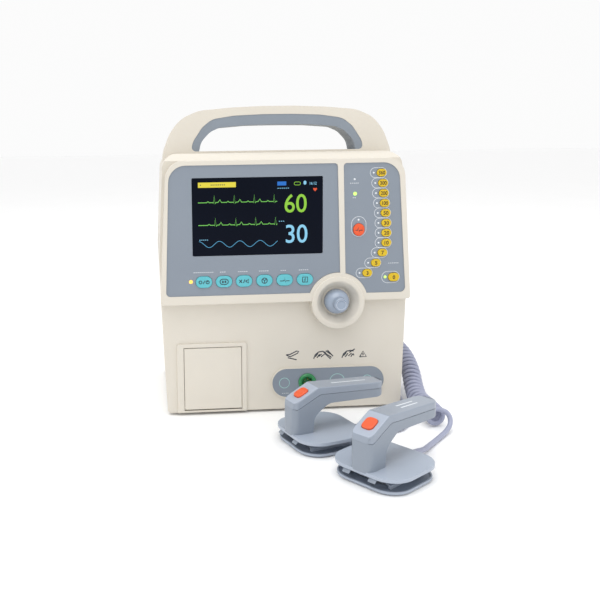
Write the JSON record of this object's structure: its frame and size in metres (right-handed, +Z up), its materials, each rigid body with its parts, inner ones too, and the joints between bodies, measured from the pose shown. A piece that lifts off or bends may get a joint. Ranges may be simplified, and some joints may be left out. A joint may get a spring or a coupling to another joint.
{
  "type": "portable defibrillator",
  "caption": "Portable defibrillator and monitor with a carrying handle, a display and keypad, a strip printer, and two corded hand paddles standing before it.",
  "frame": {"origin": "centre of the unit's footprint, on the table under its feet", "axes": "-Y out of the unit's front, +Z up, +X to the right seen from the front"},
  "size_m": [0.334, 0.437, 0.372],
  "materials": {
    "case_cream": "fine satin moulding",
    "trim_grey": "fine matte",
    "foot_rubber": "matte",
    "plain_steel": "satin",
    "key_cyan": "satin silicone",
    "key_yellow": "satin silicone",
    "fire_orange": "satin",
    "knob_blue_grey": "gloss",
    "dark_moulding": "matte",
    "roll_paper": "matte paper",
    "socket_green": "satin",
    "display_glass": "polished",
    "circuit_board": "satin",
    "capacitor_can": "satin",
    "battery_wrap": "satin",
    "paddle_grey": "satin",
    "cord_lilac": "satin"
  },
  "bodies": {
    "unit": {"front_case": "case_cream", "rear_case": "case_cream", "handle_grip": "trim_grey", "left_overlay": "trim_grey", "right_overlay": "trim_grey", "connector_panel": "trim_grey", "rubber_feet": "foot_rubber", "case_screws": "plain_steel", "printer_bucket": "dark_moulding", "ecg_socket": "socket_green", "display_module": "display_glass", "chassis": "plain_steel", "keypad_board": "circuit_board", "main_board": "circuit_board", "charger_board": "circuit_board", "hv_capacitor": "capacitor_can", "speaker": "dark_moulding", "mains_inlet": "dark_moulding", "paddle_plug": "paddle_grey", "sternum_cord": "cord_lilac", "sternum_coil": "cord_lilac", "apex_cord": "cord_lilac", "apex_coil": "cord_lilac"},
    "door": {"printer_door": "case_cream"},
    "platen": {"platen_roller": "foot_rubber"},
    "paper": {"paper_roll": "roll_paper"},
    "battery": {"battery_pack": "battery_wrap"},
    "shaft": {"encoder_shaft": "plain_steel"},
    "knob": {"selection_knob": "knob_blue_grey"},
    "sternum_paddle": {"sternum_shell": "paddle_grey", "sternum_cover": "paddle_grey", "sternum_child_electrode": "plain_steel", "sternum_cord_relief": "cord_lilac"},
    "sternum_plate": {"sternum_adult_electrode": "plain_steel"},
    "sternum_fire": {"sternum_button": "fire_orange"},
    "apex_paddle": {"apex_shell": "paddle_grey", "apex_cover": "paddle_grey", "apex_child_electrode": "plain_steel", "apex_cord_relief": "cord_lilac"},
    "apex_plate": {"apex_adult_electrode": "plain_steel"},
    "apex_fire": {"apex_button": "fire_orange"},
    "power_cap": {"power_key": "key_cyan"},
    "menu_cap": {"menu_key": "key_cyan"},
    "silence_cap": {"silence_key": "key_cyan"},
    "analysis_cap": {"analysis_key": "key_cyan"},
    "lead_cap": {"lead_key": "key_cyan"},
    "record_cap": {"record_key": "key_cyan"},
    "energy_360_cap": {"energy_key_360": "key_yellow"},
    "energy_300_cap": {"energy_key_300": "key_yellow"},
    "energy_200_cap": {"energy_key_200": "key_yellow"},
    "energy_100_cap": {"energy_key_100": "key_yellow"},
    "energy_50_cap": {"energy_key_50": "key_yellow"},
    "energy_30_cap": {"energy_key_30": "key_yellow"},
    "energy_20_cap": {"energy_key_20": "key_yellow"},
    "energy_10_cap": {"energy_key_10": "key_yellow"},
    "energy_7_cap": {"energy_key_7": "key_yellow"},
    "energy_5_cap": {"energy_key_5": "key_yellow"},
    "energy_3_cap": {"energy_key_3": "key_yellow"},
    "energy_0_cap": {"energy_key_0": "key_yellow"},
    "sync_cap": {"sync_key": "fire_orange"}
  },
  "joints": [
    {"name": "printer_door", "type": "hinge", "parent": "unit", "child": "door", "pos_m": [-0.0883, -0.087, 0.01], "axis": [1, 0, 0], "range_deg": [0, 85]},
    {"name": "sternum_lift", "type": "slide", "parent": "unit", "child": "sternum_paddle", "axis": [0, 0, 1], "range_m": [0, 0.12]},
    {"name": "apex_lift", "type": "slide", "parent": "unit", "child": "apex_paddle", "axis": [0, 0, 1], "range_m": [0, 0.12]},
    {"name": "sternum_plate_slide", "type": "slide", "parent": "sternum_paddle", "child": "sternum_plate", "axis": [-0.9511, -0.309, 0], "range_m": [0, 0.078]},
    {"name": "apex_plate_slide", "type": "slide", "parent": "apex_paddle", "child": "apex_plate", "axis": [-0.809, -0.5878, 0], "range_m": [0, 0.078]},
    {"name": "sternum_discharge", "type": "slide", "parent": "sternum_paddle", "child": "sternum_fire", "axis": [0.4258, 0.1384, -0.8942], "range_m": [0, 0.0015], "stiffness_N_per_m": 800, "springref_m": -0.002},
    {"name": "apex_discharge", "type": "slide", "parent": "apex_paddle", "child": "apex_fire", "axis": [0.3622, 0.2632, -0.8942], "range_m": [0, 0.0015], "stiffness_N_per_m": 800, "springref_m": -0.002},
    {"name": "battery_slide", "type": "slide", "parent": "unit", "child": "battery", "axis": [0, 1, 0], "range_m": [0, 0.102]},
    {"name": "encoder_press", "type": "slide", "parent": "unit", "child": "shaft", "axis": [0, 1, 0], "range_m": [0, 0.0008], "stiffness_N_per_m": 1500, "springref_m": -0.002},
    {"name": "knob_spin", "type": "hinge", "parent": "shaft", "child": "knob", "pos_m": [0.0617, -0.095, 0.1356], "axis": [0, -1, 0], "continuous": true},
    {"name": "platen_spin", "type": "hinge", "parent": "door", "child": "platen", "pos_m": [-0.0883, -0.08, 0.072], "axis": [1, 0, 0], "continuous": true},
    {"name": "paper_spin", "type": "hinge", "parent": "unit", "child": "paper", "pos_m": [-0.0883, -0.052, 0.0368], "axis": [1, 0, 0], "continuous": true},
    {"name": "power_press", "type": "slide", "parent": "unit", "child": "power_cap", "axis": [0, 1, 0], "range_m": [0, 0.0008], "stiffness_N_per_m": 400, "springref_m": -0.0015},
    {"name": "menu_press", "type": "slide", "parent": "unit", "child": "menu_cap", "axis": [0, 1, 0], "range_m": [0, 0.0008], "stiffness_N_per_m": 400, "springref_m": -0.0015},
    {"name": "silence_press", "type": "slide", "parent": "unit", "child": "silence_cap", "axis": [0, 1, 0], "range_m": [0, 0.0008], "stiffness_N_per_m": 400, "springref_m": -0.0015},
    {"name": "analysis_press", "type": "slide", "parent": "unit", "child": "analysis_cap", "axis": [0, 1, 0], "range_m": [0, 0.0008], "stiffness_N_per_m": 400, "springref_m": -0.0015},
    {"name": "lead_press", "type": "slide", "parent": "unit", "child": "lead_cap", "axis": [0, 1, 0], "range_m": [0, 0.0008], "stiffness_N_per_m": 400, "springref_m": -0.0015},
    {"name": "record_press", "type": "slide", "parent": "unit", "child": "record_cap", "axis": [0, 1, 0], "range_m": [0, 0.0008], "stiffness_N_per_m": 400, "springref_m": -0.0015},
    {"name": "energy_360_press", "type": "slide", "parent": "unit", "child": "energy_360_cap", "axis": [0, 1, 0], "range_m": [0, 0.0008], "stiffness_N_per_m": 400, "springref_m": -0.0015},
    {"name": "energy_300_press", "type": "slide", "parent": "unit", "child": "energy_300_cap", "axis": [0, 1, 0], "range_m": [0, 0.0008], "stiffness_N_per_m": 400, "springref_m": -0.0015},
    {"name": "energy_200_press", "type": "slide", "parent": "unit", "child": "energy_200_cap", "axis": [0, 1, 0], "range_m": [0, 0.0008], "stiffness_N_per_m": 400, "springref_m": -0.0015},
    {"name": "energy_100_press", "type": "slide", "parent": "unit", "child": "energy_100_cap", "axis": [0, 1, 0], "range_m": [0, 0.0008], "stiffness_N_per_m": 400, "springref_m": -0.0015},
    {"name": "energy_50_press", "type": "slide", "parent": "unit", "child": "energy_50_cap", "axis": [0, 1, 0], "range_m": [0, 0.0008], "stiffness_N_per_m": 400, "springref_m": -0.0015},
    {"name": "energy_30_press", "type": "slide", "parent": "unit", "child": "energy_30_cap", "axis": [0, 1, 0], "range_m": [0, 0.0008], "stiffness_N_per_m": 400, "springref_m": -0.0015},
    {"name": "energy_20_press", "type": "slide", "parent": "unit", "child": "energy_20_cap", "axis": [0, 1, 0], "range_m": [0, 0.0008], "stiffness_N_per_m": 400, "springref_m": -0.0015},
    {"name": "energy_10_press", "type": "slide", "parent": "unit", "child": "energy_10_cap", "axis": [0, 1, 0], "range_m": [0, 0.0008], "stiffness_N_per_m": 400, "springref_m": -0.0015},
    {"name": "energy_7_press", "type": "slide", "parent": "unit", "child": "energy_7_cap", "axis": [0, 1, 0], "range_m": [0, 0.0008], "stiffness_N_per_m": 400, "springref_m": -0.0015},
    {"name": "energy_5_press", "type": "slide", "parent": "unit", "child": "energy_5_cap", "axis": [0, 1, 0], "range_m": [0, 0.0008], "stiffness_N_per_m": 400, "springref_m": -0.0015},
    {"name": "energy_3_press", "type": "slide", "parent": "unit", "child": "energy_3_cap", "axis": [0, 1, 0], "range_m": [0, 0.0008], "stiffness_N_per_m": 400, "springref_m": -0.0015},
    {"name": "energy_0_press", "type": "slide", "parent": "unit", "child": "energy_0_cap", "axis": [0, 1, 0], "range_m": [0, 0.0008], "stiffness_N_per_m": 400, "springref_m": -0.0015},
    {"name": "sync_press", "type": "slide", "parent": "unit", "child": "sync_cap", "axis": [0, 1, 0], "range_m": [0, 0.0008], "stiffness_N_per_m": 400, "springref_m": -0.0015}
  ]
}
